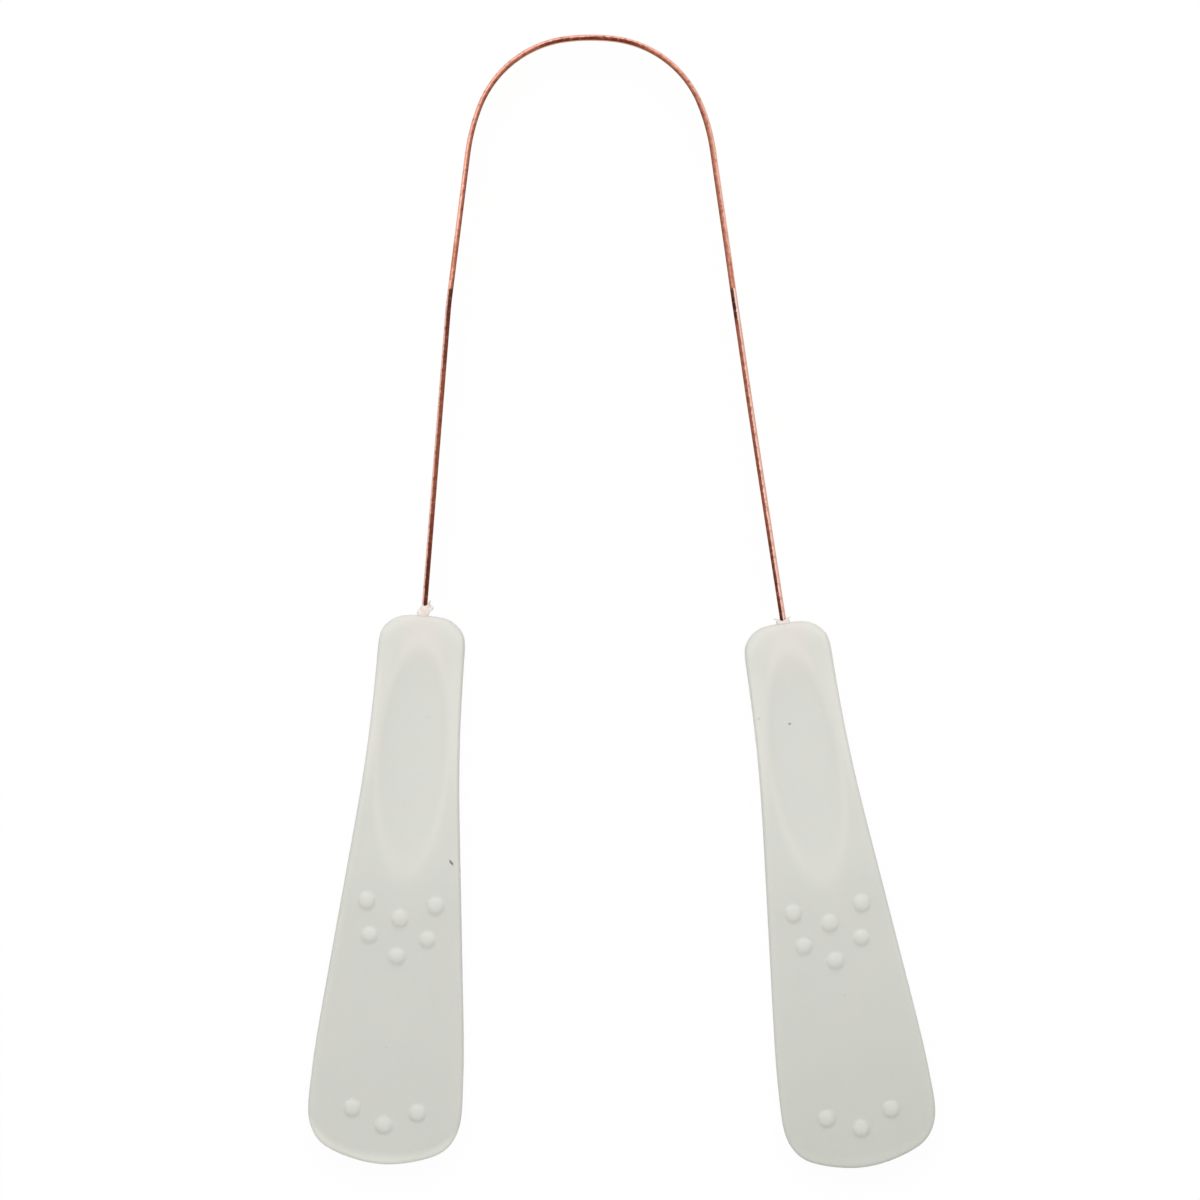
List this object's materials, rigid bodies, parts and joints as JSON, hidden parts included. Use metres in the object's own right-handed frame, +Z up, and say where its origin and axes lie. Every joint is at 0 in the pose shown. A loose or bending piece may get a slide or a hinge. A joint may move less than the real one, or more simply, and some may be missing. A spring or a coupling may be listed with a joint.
{
  "type": "tongue scraper",
  "caption": "Tongue scraper of thin springy copper strip bent to a U, with a flared off-white plastic handle moulded on each end, hollowed for the thumb and dotted for grip.",
  "frame": {"origin": "middle of the outline seen from the front, on the plane of the handles' flat backs", "axes": "+X to the right handle, +Y along the tool towards the crown of the bow, +Z up out of the fronts of the handles"},
  "size_m": [0.0782, 0.1414, 0.0083],
  "materials": {
    "copper_strip": "bare copper, polished round the scraping bow and browner down the limbs",
    "handle_plastic": "moulded off-white plastic, satin and faintly translucent"
  },
  "bodies": {
    "bow": {"scraper_arch": "copper_strip"},
    "left_side": {"left_limb": "copper_strip", "left_handle": "handle_plastic"},
    "right_side": {"right_limb": "copper_strip", "right_handle": "handle_plastic"}
  },
  "joints": [
    {"name": "left_flex", "type": "hinge", "parent": "bow", "child": "left_side", "pos_m": [-0.01395, 0.0664, 0.004], "axis": [0, 0, -1], "range_deg": [-8, 10], "stiffness_Nm_per_rad": 0.2},
    {"name": "right_flex", "type": "hinge", "parent": "bow", "child": "right_side", "pos_m": [0.00762, 0.0664, 0.004], "axis": [0, 0, 1], "range_deg": [-8, 10], "stiffness_Nm_per_rad": 0.2}
  ]
}
